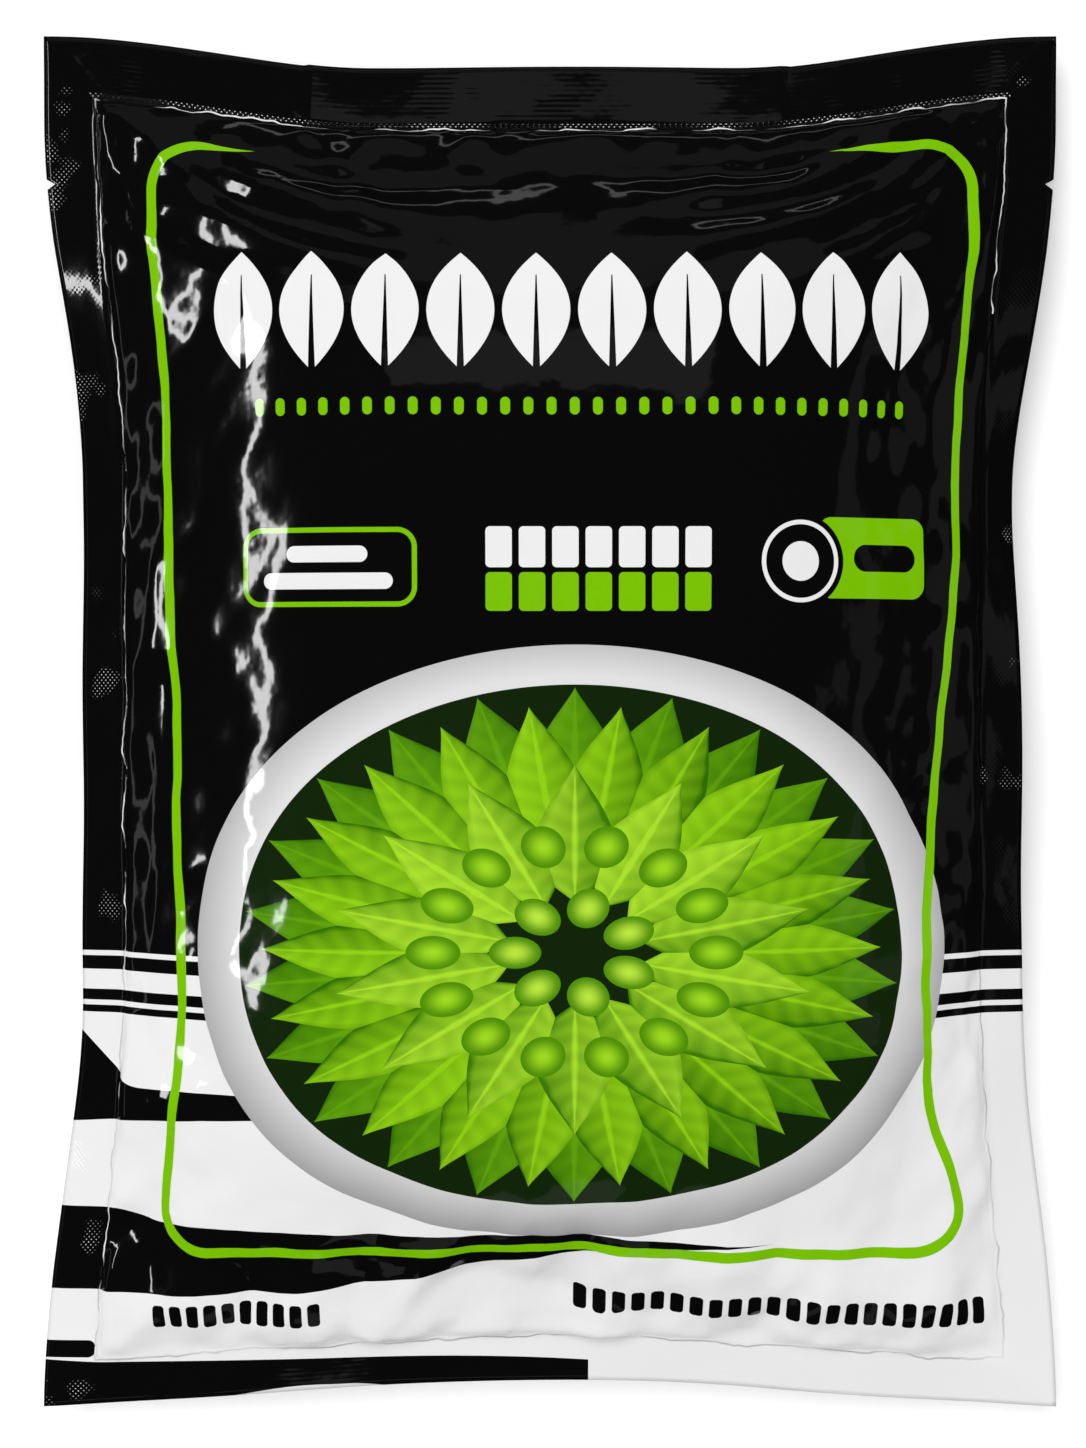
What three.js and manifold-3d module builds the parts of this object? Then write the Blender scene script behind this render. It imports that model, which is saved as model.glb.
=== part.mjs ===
// A heat-sealed pouch of frozen edamame pods, lying on its back as it rests on a shelf or a table.
// Two printed film webs, front and back, are welded round all four edges, and loose pods in the shell
// fill the chamber between them.
// Millimetres. +X is the pouch's right, +Y its top and +Z up, out of its printed front. The origin is
// the middle of its plan, on the surface that it rests on.
import * as THREE from 'three';
import { mergeVertices } from 'three/addons/utils/BufferGeometryUtils.js';
import Module from 'manifold-3d';

const wasm = await Module();
wasm.setup();

// The flat webs and their welded bands
const WEB_WIDTH = 375;
const WEB_LENGTH = 508;
const SIDE_SEAL = 20;
const TOP_SEAL = 24;
const BOTTOM_SEAL = 18;
const FILM = 0.6; // each web, thicker than the real laminate so that it stays a sound solid
const WELD_GAP = 0.3; // the two webs keep this gap where they are welded

// How far the filling pulls the middle of each edge in. The pull is full up to one share of the edge's
// half length and fades out by another.
const INSET = { left: 12.0, right: 10.7, top: 13.7, bottom: 12.6 };
const SIDE_FADE = { up: [0.4, 0.97], down: [0.4, 1.08] };
const END_FADE = { top: [0.4, 1.08], bottom: [0, 1.3] };

// How high the filling lifts the webs
const SEAM_HEIGHT = 38;
const CORNER_DROP = 11;
const CORNER_START = 0.45;
const FRONT_RISE = 52;
const FRONT_RAMP = { x: 112, y: 130 };
const BACK_RAMP = { x: 62, y: 75 };
const BACK_PRESS = 1.08; // over 1, so that the underside is pressed flat where it rests

// The free bands droop and ruffle. Seen in plan, a drooping side band keeps only this share of its
// width, and less where the right one is bent down.
const DROOP = 6;
const SIDE_SHARE = { left: 0.83, right: 0.85 };
const DENT = { y: 80, share: 0.17, half: 38 };
const SIDE_RUFFLE = { height: 1.2, length: 92, left: 0.6, right: 2.4 };
const END_RUFFLE = { height: 1.8, length: 150, top: 1.2, bottom: 2.0 };

// A tear notch in each side band
const NOTCH = { y: 199, depth: 3, width: 3.6, reach: 120 };

// The pods, and the packed mass that they stand out of
const POD_CLEAR = 1.6; // from a pod to the film over it
const CORE_DEPTH = 7.5; // from the film to the packed mass
const CORE = { s: 0.9, t: 0.93, power: 4, sectors: 24, rings: [0.35, 0.62, 0.8, 0.92, 1] };
const POD = { shortest: 60, longest: 78, bend: 0.42, sides: 5, apart: 14.2, reach: 0.87 };
const FRONT_PODS = 46;
const BACK_PODS = 26;
const SEED = 20260;

// Share of the pod's length, then width and thickness there: a neck, three beans and a beak
const POD_STATIONS = [
  [0.08, 5.0, 3.8],
  [0.2, 13.6, 9.0],
  [0.3, 15.6, 10.6],
  [0.41, 12.6, 8.2],
  [0.52, 16.0, 11.0],
  [0.64, 12.4, 8.0],
  [0.76, 14.4, 10.0],
  [0.92, 5.0, 3.8],
];

// The chamber's flat half sizes, and the height of its middle
const CHAMBER_X = WEB_WIDTH / 2 - SIDE_SEAL;
const CHAMBER_Y = (WEB_LENGTH - TOP_SEAL - BOTTOM_SEAL) / 2;
const CHAMBER_MIDDLE = (BOTTOM_SEAL - TOP_SEAL) / 2;

const clamp = (value, low, high) => Math.min(high, Math.max(low, value));

function smoothStep(value, from, to) {
  const share = clamp((value - from) / (to - from), 0, 1);
  return share * share * (3 - 2 * share);
}

// 1 along the middle of an edge, falling to 0 towards its corners
const pulledIn = (share, [full, gone]) => 1 - smoothStep(Math.abs(share), full, gone);

// How far the sides are pulled in at height y, from 0 to 1
function sidePull(y) {
  const share = (y - CHAMBER_MIDDLE) / CHAMBER_Y;
  return pulledIn(share, share < 0 ? SIDE_FADE.down : SIDE_FADE.up);
}

// Half width of the filled chamber at height y, and half length at x
const halfWidth = (x, y) => CHAMBER_X - (x < 0 ? INSET.left : INSET.right) * sidePull(y);

function halfLength(x, y) {
  const end = y < CHAMBER_MIDDLE ? 'bottom' : 'top';
  return CHAMBER_Y - INSET[end] * pulledIn(x / CHAMBER_X, END_FADE[end]);
}

// The share of a side band's width that shows in plan
function bandShare(x, y) {
  if (x < 0) return 1 - (1 - SIDE_SHARE.left) * sidePull(y);
  const dent = DENT.share * Math.exp(-(((y - DENT.y) / DENT.half) ** 2));
  return 1 - (1 - SIDE_SHARE.right) * sidePull(y) - dent;
}

// Rises from 0 at a seam to 1 at the end of its ramp
function ramp(inward, length) {
  const left = 1 - clamp(inward / length, 0, 1);
  return 1 - left * left;
}

// The plan place of a flat web's point: u from its middle line, v from the chamber's middle
function planOf(u, v) {
  const y = CHAMBER_MIDDLE + v;
  const wide = Math.max(Math.abs(u) - CHAMBER_X, 0);
  const long = Math.max(Math.abs(v) - CHAMBER_Y, 0);
  const s = clamp(u / CHAMBER_X, -1, 1);
  const t = clamp(v / CHAMBER_Y, -1, 1);
  return [
    s * halfWidth(u, y) + Math.sign(u) * wide * bandShare(u, y),
    CHAMBER_MIDDLE + t * halfLength(u, y) + Math.sign(v) * long,
  ];
}

// Height of the weld between the two webs, carried on under the chamber as their mid surface
function weldHeight(x, y) {
  const v = y - CHAMBER_MIDDLE;
  const across = smoothStep(Math.abs(x) / CHAMBER_X, CORNER_START, 1);
  const along = smoothStep(Math.abs(v) / CHAMBER_Y, CORNER_START, 1);
  const shown = bandShare(x, y);
  const sideDroop = Math.max(DROOP, SIDE_SEAL * Math.sqrt(1 - shown ** 2));
  const beside = Math.max(Math.abs(x) - halfWidth(x, y), 0) / (SIDE_SEAL * shown);
  const beyond = Math.max(Math.abs(v) - halfLength(x, y), 0) / (v < 0 ? BOTTOM_SEAL : TOP_SEAL);
  const sidePhase = x < 0 ? SIDE_RUFFLE.left : SIDE_RUFFLE.right;
  const endPhase = v < 0 ? END_RUFFLE.bottom : END_RUFFLE.top;
  const sideWave = Math.sin((2 * Math.PI * y) / SIDE_RUFFLE.length + sidePhase) * (1 - along);
  const endWave = Math.sin((2 * Math.PI * x) / END_RUFFLE.length + endPhase) * (1 - across);
  return (
    SEAM_HEIGHT -
    CORNER_DROP * across * along -
    Math.max(sideDroop * beside, DROOP * beyond) +
    SIDE_RUFFLE.height * sideWave * beside +
    END_RUFFLE.height * endWave * beyond
  );
}

function shareUp(x, y, ramps) {
  const v = y - CHAMBER_MIDDLE;
  return ramp(halfWidth(x, y) - Math.abs(x), ramps.x) * ramp(halfLength(x, y) - Math.abs(v), ramps.y);
}

const frontInner = (x, y) => weldHeight(x, y) + WELD_GAP / 2 + FRONT_RISE * shareUp(x, y, FRONT_RAMP);

function backOuter(x, y) {
  const weld = weldHeight(x, y) - WELD_GAP / 2 - FILM;
  return weld * (1 - Math.min(1, BACK_PRESS * shareUp(x, y, BACK_RAMP)));
}

// A height field's upward normal
function normalOf(height, x, y) {
  const step = 0.5;
  const dx = (height(x + step, y) - height(x - step, y)) / (2 * step);
  const dy = (height(x, y + step) - height(x, y - step)) / (2 * step);
  return new THREE.Vector3(-dx, -dy, 1).normalize();
}

// A web is as thick square to its slope as it is in its flat parts
const thickness = (height, x, y) => FILM / normalOf(height, x, y).z;
const frontOuter = (x, y) => frontInner(x, y) + thickness(frontInner, x, y);
const backInner = (x, y) => backOuter(x, y) + thickness(backOuter, x, y);

// Grid lines across a web: even steps in each band, and closer towards the seams than in the middle
function webLines(half, lowBand, highBand, steps) {
  const lines = [-half - lowBand, -half - lowBand / 2];
  for (let i = 0; i <= steps; i += 1) {
    const even = (2 * i) / steps - 1;
    lines.push(half * (0.6 * even + 0.4 * Math.sin((Math.PI / 2) * even)));
  }
  return [...lines, half + highBand / 2, half + highBand];
}

function solidFrom(positions, triangles) {
  const mesh = new wasm.Mesh({
    numProp: 3,
    vertProperties: new Float32Array(positions),
    triVerts: new Uint32Array(triangles),
  });
  return new wasm.Manifold(mesh);
}

function geometryFrom(solid) {
  const { vertProperties, triVerts } = solid.getMesh();
  const geometry = new THREE.BufferGeometry();
  geometry.setAttribute('position', new THREE.BufferAttribute(new Float32Array(vertProperties), 3));
  geometry.setIndex(new THREE.BufferAttribute(new Uint32Array(triVerts), 1));
  geometry.computeVertexNormals();
  return geometry;
}

// A three.js geometry as a solid, with only its positions kept
function solidOfGeometry(source) {
  const bare = source.clone();
  bare.deleteAttribute('normal');
  bare.deleteAttribute('uv');
  const merged = mergeVertices(bare);
  return solidFrom(merged.attributes.position.array, merged.index.array);
}

// A web: the same grid on its upper and its lower face, split alike, and closed round its cut edge
function webSolid(lower, upper) {
  const across = webLines(CHAMBER_X, SIDE_SEAL, SIDE_SEAL, 20);
  const along = webLines(CHAMBER_Y, BOTTOM_SEAL, TOP_SEAL, 28);
  const positions = [];
  for (const face of [lower, upper]) {
    for (const v of along) {
      for (const u of across) {
        const [x, y] = planOf(u, v);
        positions.push(x, y, face(x, y));
      }
    }
  }
  const columns = across.length;
  const layer = columns * along.length;
  const triangles = [];
  for (let j = 0; j + 1 < along.length; j += 1) {
    for (let i = 0; i + 1 < columns; i += 1) {
      const a = j * columns + i;
      const [b, c, d] = [a + 1, a + columns + 1, a + columns];
      triangles.push(a, d, c, a, c, b);
      triangles.push(layer + a, layer + c, layer + d, layer + a, layer + b, layer + c);
    }
  }
  const rim = [];
  for (let i = 0; i + 1 < columns; i += 1) rim.push(i);
  for (let j = 0; j + 1 < along.length; j += 1) rim.push(j * columns + columns - 1);
  for (let i = columns - 1; i > 0; i -= 1) rim.push((along.length - 1) * columns + i);
  for (let j = along.length - 1; j > 0; j -= 1) rim.push(j * columns);
  rim.forEach((a, k) => {
    const b = rim[(k + 1) % rim.length];
    triangles.push(a, b, layer + b, a, layer + b, layer + a);
  });
  return solidFrom(positions, triangles);
}

// The wedge that a tear notch takes out of one side band, through both webs
function notchCutter(side) {
  const edge = halfWidth(side, NOTCH.y) + SIDE_SEAL * bandShare(side, NOTCH.y);
  const outline = new THREE.Shape();
  outline.moveTo(side * (edge + NOTCH.depth), NOTCH.y + NOTCH.width);
  outline.lineTo(side * (edge + NOTCH.depth), NOTCH.y - NOTCH.width);
  outline.lineTo(side * (edge - NOTCH.depth), NOTCH.y);
  outline.closePath();
  return solidOfGeometry(new THREE.ExtrudeGeometry(outline, { depth: NOTCH.reach, bevelEnabled: false }));
}

// Repeatable random numbers from 0 to 1
function randomFrom(seed) {
  let state = seed;
  return () => {
    state = (Math.imul(state, 1664525) + 1013904223) >>> 0;
    return state / 4294967296;
  };
}

// The packed mass inside, which the pods stand out of: rings of its upper face, then of its lower one
function coreSolid() {
  const positions = [];
  const place = (share, sector, face) => {
    const angle = (2 * Math.PI * sector) / CORE.sectors;
    const [c, s] = [Math.cos(angle), Math.sin(angle)];
    const reach = share / (Math.abs(c) ** CORE.power + Math.abs(s) ** CORE.power) ** (1 / CORE.power);
    const [x, y] = planOf(reach * c * CORE.s * CHAMBER_X, reach * s * CORE.t * CHAMBER_Y);
    const top = frontInner(x, y) - CORE_DEPTH;
    const bottom = backInner(x, y) + CORE_DEPTH;
    const z = share === 1 ? (top + bottom) / 2 : face > 0 ? top : bottom;
    positions.push(x, y, z);
  };
  const triangles = [];
  const inner = CORE.rings.slice(0, -1);
  const count = CORE.sectors;
  for (let k = 0; k < count; k += 1) place(1, k, 0);
  for (const face of [1, -1]) {
    const first = positions.length / 3;
    for (const share of inner) {
      for (let k = 0; k < count; k += 1) place(share, k, face);
    }
    const middle = positions.length / 3;
    place(0, 0, face);
    const turn = (a, b, c) => (face > 0 ? triangles.push(a, b, c) : triangles.push(a, c, b));
    const ring = (index, k) => (index === inner.length ? k % count : first + index * count + (k % count));
    for (let k = 0; k < count; k += 1) {
      turn(middle, ring(0, k), ring(0, k + 1));
      for (let r = 0; r < inner.length; r += 1) {
        turn(ring(r, k), ring(r + 1, k), ring(r + 1, k + 1));
        turn(ring(r, k), ring(r + 1, k + 1), ring(r, k + 1));
      }
    }
  }
  return solidFrom(positions, triangles);
}

// Places for the pods that touch one web: tried at random, and kept where no earlier pod lies
function podPlaces(count, random) {
  const places = [];
  for (let tries = 0; places.length < count && tries < 20000; tries += 1) {
    const s = (2 * random() - 1) * POD.reach;
    const t = (2 * random() - 1) * POD.reach;
    const heading = 2 * Math.PI * random();
    const length = POD.shortest + (POD.longest - POD.shortest) * random();
    const bend = (2 * random() - 1) * POD.bend;
    const spine = (share) => {
      const turned = heading + bend * (2 * share - 1);
      const along = (share - 0.5) * length;
      const bow = bend * length * (share - 0.5) ** 2;
      return {
        x: s * CHAMBER_X + along * Math.cos(heading) - bow * Math.sin(heading),
        y: CHAMBER_MIDDLE + t * CHAMBER_Y + along * Math.sin(heading) + bow * Math.cos(heading),
        turned,
      };
    };
    const marks = [0, 0.17, 0.34, 0.5, 0.66, 0.83, 1].map(spine);
    const inside = marks.every(({ x, y }) => {
      const share = Math.abs(x / (CORE.s * CHAMBER_X)) ** CORE.power;
      return share + Math.abs((y - CHAMBER_MIDDLE) / (CORE.t * CHAMBER_Y)) ** CORE.power < POD.reach ** CORE.power;
    });
    const clear = (other) =>
      other.marks.every((m) => marks.every((n) => Math.hypot(m.x - n.x, m.y - n.y) > POD.apart));
    if (inside && places.every(clear)) places.push({ spine, marks });
  }
  return places;
}

// One pod, bent along its spine and lying against the web over it or under it
function podSolid(place, height, side) {
  const positions = [];
  const centreAt = (share, thick) => {
    const { x, y, turned } = place.spine(share);
    const normal = normalOf(height, x, y).multiplyScalar(side);
    const centre = new THREE.Vector3(x, y, height(x, y)).addScaledVector(normal, -POD_CLEAR - thick / 2);
    return { centre, normal, ahead: new THREE.Vector3(Math.cos(turned), Math.sin(turned), 0) };
  };
  const addPoint = (point) => positions.push(point.x, point.y, point.z);
  addPoint(centreAt(0, POD_STATIONS[0][2]).centre);
  for (const [share, width, thick] of POD_STATIONS) {
    const { centre, normal, ahead } = centreAt(share, thick);
    const beside = new THREE.Vector3().crossVectors(normal, ahead).normalize();
    for (let k = 0; k < POD.sides; k += 1) {
      const angle = (2 * Math.PI * k) / POD.sides;
      const out = centre.clone().addScaledVector(beside, (Math.cos(angle) * width) / 2);
      addPoint(out.addScaledVector(normal, (Math.sin(angle) * thick) / 2));
    }
  }
  addPoint(centreAt(1, POD_STATIONS.at(-1)[2]).centre);
  const last = positions.length / 3 - 1;
  const ring = (row, k) => 1 + row * POD.sides + (k % POD.sides);
  const triangles = [];
  for (let k = 0; k < POD.sides; k += 1) {
    triangles.push(0, ring(0, k), ring(0, k + 1));
    triangles.push(last, ring(POD_STATIONS.length - 1, k + 1), ring(POD_STATIONS.length - 1, k));
    for (let row = 0; row + 1 < POD_STATIONS.length; row += 1) {
      triangles.push(ring(row, k), ring(row + 1, k), ring(row + 1, k + 1));
      triangles.push(ring(row, k), ring(row + 1, k + 1), ring(row, k + 1));
    }
  }
  const solid = solidFrom(positions, triangles);
  return solid.volume() < 0 ? solidFrom(positions, triangles.reverse()) : solid;
}

function podsSolid() {
  const random = randomFrom(SEED);
  let mass = coreSolid();
  for (const place of podPlaces(FRONT_PODS, random)) mass = mass.add(podSolid(place, frontInner, 1));
  for (const place of podPlaces(BACK_PODS, random)) mass = mass.add(podSolid(place, backInner, -1));
  return mass;
}

function namedMesh(name, solid, settings) {
  const mesh = new THREE.Mesh(geometryFrom(solid), new THREE.MeshStandardMaterial(settings));
  mesh.name = name;
  return mesh;
}

const notches = notchCutter(-1).add(notchCutter(1));
const pouch = new THREE.Group();
pouch.add(
  namedMesh('front_film', webSolid(frontInner, frontOuter).subtract(notches), {
    color: 0x0b0b0b,
    roughness: 0.22,
    metalness: 0,
  }),
  namedMesh('back_film', webSolid(backOuter, backInner).subtract(notches), {
    color: 0x0e0e0e,
    roughness: 0.25,
    metalness: 0,
  }),
  namedMesh('edamame_pods', podsSolid(), { color: 0x79a83a, roughness: 0.6, metalness: 0 }),
);

export default pouch;
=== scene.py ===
"""A filled film pouch of frozen pods, lying on its back and seen from straight above.

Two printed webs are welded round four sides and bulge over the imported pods. Lengths are in
millimetres up to the moment a mesh is made, x to the right of the print, y up it, z off the table.
"""
import math

import bpy
import numpy as np
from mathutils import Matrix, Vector


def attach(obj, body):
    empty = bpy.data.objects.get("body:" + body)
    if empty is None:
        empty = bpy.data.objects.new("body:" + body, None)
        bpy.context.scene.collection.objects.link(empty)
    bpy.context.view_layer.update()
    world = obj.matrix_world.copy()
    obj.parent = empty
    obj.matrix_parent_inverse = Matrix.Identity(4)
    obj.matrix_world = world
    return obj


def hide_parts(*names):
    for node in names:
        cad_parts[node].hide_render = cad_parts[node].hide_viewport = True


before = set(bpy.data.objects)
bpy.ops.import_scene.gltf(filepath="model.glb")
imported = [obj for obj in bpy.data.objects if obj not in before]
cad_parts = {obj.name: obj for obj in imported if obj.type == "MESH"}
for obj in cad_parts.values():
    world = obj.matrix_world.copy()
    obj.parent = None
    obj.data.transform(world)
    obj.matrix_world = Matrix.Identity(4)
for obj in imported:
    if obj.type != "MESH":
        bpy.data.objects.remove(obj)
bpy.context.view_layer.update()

MM = 0.001
SEED = 20260

# Flat webs and their welds. The film is drawn twice as thick as the real 0.12 mm, so that its edge
# shows, and that much of it lies outside the settled surface
WEB_WIDTH = 375.0
WEB_LENGTH = 508.0
SIDE_SEAL = 20.0
TOP_SEAL = 24.0
BOTTOM_SEAL = 18.0
FILM = 0.25
FILM_OUTSIDE = 0.6
CHAMBER_X = WEB_WIDTH / 2 - SIDE_SEAL
CHAMBER_Y = (WEB_LENGTH - TOP_SEAL - BOTTOM_SEAL) / 2
CHAMBER_MIDDLE = (BOTTOM_SEAL - TOP_SEAL) / 2

# How far the filled chamber pulls each edge in: fully up to one share of the edge's half length,
# and not at all past another
INSET = {"left": 12.0, "right": 10.7, "top": 13.7, "bottom": 12.6}
SIDE_FADE = {"up": (0.4, 0.97), "down": (0.4, 1.08)}
END_FADE = {"top": (0.4, 1.08), "bottom": (0.0, 1.3)}

# The heights of the seam
SEAM_HEIGHT = 38.0
CORNER_DROP = 11.0
CORNER_START = 0.45

# The free bands droop: in plan a side band keeps a share of its width, less where the right one is bent
DROOP = 6.0
SIDE_SHARE = {"left": 0.83, "right": 0.85}
DENT = {"y": 80.0, "share": 0.17, "half": 38.0}

# How the filled webs rise from the seam and how far in they level out, across and along
FRONT_RISE = 52.0
FRONT_RAMP = (112.0, 130.0)
BACK_RAMP = (62.0, 75.0)
BACK_PRESS = 1.08

# Waves of the free edges: height, wave length and phase on each side
SIDE_RUFFLE = {"height": 1.2, "length": 92.0, "left": 0.6, "right": 2.4}
END_RUFFLE = {"height": 1.8, "length": 150.0, "top": 1.2, "bottom": 2.0}

# Tear notches in both side welds, with no line of the mesh too near, and how far in they stretch it
NOTCH_Y = 199.0
NOTCH_DEPTH = 3.2
NOTCH_HALF = 1.9
NOTCH_CLEAR = 0.4
NOTCH_SPREAD = 12.0

# Grids: the relaxed film and the finished mesh
COARSE = (62, 84)
FINE = (124, 168)
MESH_ACROSS = 186
MESH_ALONG = 252


def smooth_step(value, low, high):
    share = np.clip((value - low) / (high - low), 0, 1)
    return share * share * (3 - 2 * share)


def pulled_in(share, fade):
    return 1 - smooth_step(np.abs(share), *fade)


def side_pull(y):
    share = (y - CHAMBER_MIDDLE) / CHAMBER_Y
    return np.where(share < 0, pulled_in(share, SIDE_FADE["down"]), pulled_in(share, SIDE_FADE["up"]))


def half_width(x, y):
    return CHAMBER_X - np.where(x < 0, INSET["left"], INSET["right"]) * side_pull(y)


def band_share(x, y):
    """The share of a side band's width that shows in plan."""
    left = 1 - (1 - SIDE_SHARE["left"]) * side_pull(y)
    dent = DENT["share"] * np.exp(-(((y - DENT["y"]) / DENT["half"]) ** 2))
    right = 1 - (1 - SIDE_SHARE["right"]) * side_pull(y) - dent
    return np.where(x < 0, left, right)


def half_length(x, y):
    share = x / CHAMBER_X
    top = INSET["top"] * pulled_in(share, END_FADE["top"])
    bottom = INSET["bottom"] * pulled_in(share, END_FADE["bottom"])
    return CHAMBER_Y - np.where(y < CHAMBER_MIDDLE, bottom, top)


def ramp(inward, length):
    return 1 - (1 - np.clip(inward / length, 0, 1)) ** 2


def share_up(x, y, ramps):
    """0 at the welds and 1 where the web has levelled out."""
    beside = ramp(half_width(x, y) - np.abs(x), ramps[0])
    beyond = ramp(half_length(x, y) - np.abs(y - CHAMBER_MIDDLE), ramps[1])
    return beside * beyond


def plan_of(u, v):
    """Where a point of the flat web lies on the filled pouch, seen from above."""
    along = v - CHAMBER_MIDDLE
    s = np.clip(u / CHAMBER_X, -1, 1)
    t = np.clip(along / CHAMBER_Y, -1, 1)
    x = s * half_width(u, v) + np.sign(u) * np.maximum(np.abs(u) - CHAMBER_X, 0) * band_share(u, v)
    past = np.sign(along) * np.maximum(np.abs(along) - CHAMBER_Y, 0)
    return x, CHAMBER_MIDDLE + t * half_length(u, v) + past


def weld_height(x, y):
    along = y - CHAMBER_MIDDLE
    corner_x = smooth_step(np.abs(x) / CHAMBER_X, CORNER_START, 1)
    corner_y = smooth_step(np.abs(along) / CHAMBER_Y, CORNER_START, 1)
    shown = band_share(x, y)
    side_droop = np.maximum(DROOP, SIDE_SEAL * np.sqrt(1 - shown**2))
    beside = np.clip((np.abs(x) - half_width(x, y)) / (SIDE_SEAL * shown), 0, 1)
    seal = np.where(along > 0, TOP_SEAL, BOTTOM_SEAL)
    beyond = np.clip((np.abs(along) - half_length(x, y)) / seal, 0, 1)
    side_phase = np.where(x < 0, SIDE_RUFFLE["left"], SIDE_RUFFLE["right"])
    end_phase = np.where(along > 0, END_RUFFLE["top"], END_RUFFLE["bottom"])
    side_wave = np.sin(2 * np.pi * y / SIDE_RUFFLE["length"] + side_phase) * (1 - corner_y)
    end_wave = np.sin(2 * np.pi * x / END_RUFFLE["length"] + end_phase) * (1 - corner_x)
    droop = np.maximum(side_droop * beside, DROOP * beyond)
    level = SEAM_HEIGHT - CORNER_DROP * corner_x * corner_y - droop
    level = level + SIDE_RUFFLE["height"] * side_wave * beside
    return level + END_RUFFLE["height"] * end_wave * beyond


def front_height(x, y):
    return weld_height(x, y) + FRONT_RISE * share_up(x, y, FRONT_RAMP)


def back_height(x, y):
    return weld_height(x, y) * (1 - np.minimum(1, BACK_PRESS * share_up(x, y, BACK_RAMP)))


def spline_rows(field, at):
    """A uniform cubic B-spline through the rows of a field, read at fractional rows."""
    base = np.floor(at).astype(int)
    f = at - base
    weights = (
        (1 - f) ** 3 / 6,
        (3 * f**3 - 6 * f**2 + 4) / 6,
        (-3 * f**3 + 3 * f**2 + 3 * f + 1) / 6,
        f**3 / 6,
    )
    last = field.shape[0] - 1
    found = 0
    for step, weight in enumerate(weights):
        row = base + step - 1
        value = field[np.clip(row, 0, last)].copy()
        value[row < 0] = 2 * field[0] - field[1]
        value[row > last] = 2 * field[last] - field[last - 1]
        found = found + weight.reshape((-1,) + (1,) * (field.ndim - 1)) * value
    return found


def resample(field, rows, columns):
    """A grid of points, rows first, read again at other fractional rows and columns."""
    swapped = spline_rows(field, rows).swapaxes(0, 1)
    return spline_rows(swapped, columns).swapaxes(0, 1)


def soft_noise(rng, shape, cells):
    """Seeded noise with features of about that many grid cells."""
    rows, columns = (max(4, int(n / cells) + 3) for n in shape)
    coarse = rng.standard_normal((rows, columns))
    return resample(coarse, np.linspace(1, rows - 2.001, shape[0]),
                    np.linspace(1, columns - 2.001, shape[1]))


# How the film settles: in how many steps and rounds, what it keeps of its speed, how hard it pulls and
# pushes back to its flat spacing, and how firmly the bands are drawn home in x, y and z
STEPS = 220
ROUNDS = 4
KEPT_SPEED = 0.85
STIFFNESS = {"edge": (1.0, 0.25), "shear": (0.35, 0.06), "bend": (0.0, 0.38)}
WELD_HOLD = (0.3, 0.3, 0.15)

# How far the pods lie below the film's full height and how far it may rise above that
POD_GAP = {"middle": 1.4, "edge": 2.0, "from": 0.25}
RISE_LIMIT = 1.0

# What it starts from: crumples and lumps by chance, as height and size in grid cells, and some air
COARSE_START = {"crumples": (0.5, 4), "lumps": (0.9, 3), "air": 0.012}
FINE_START = {"crumples": (0.2, 3), "lumps": (0.6, 5), "air": 0.006}


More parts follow.
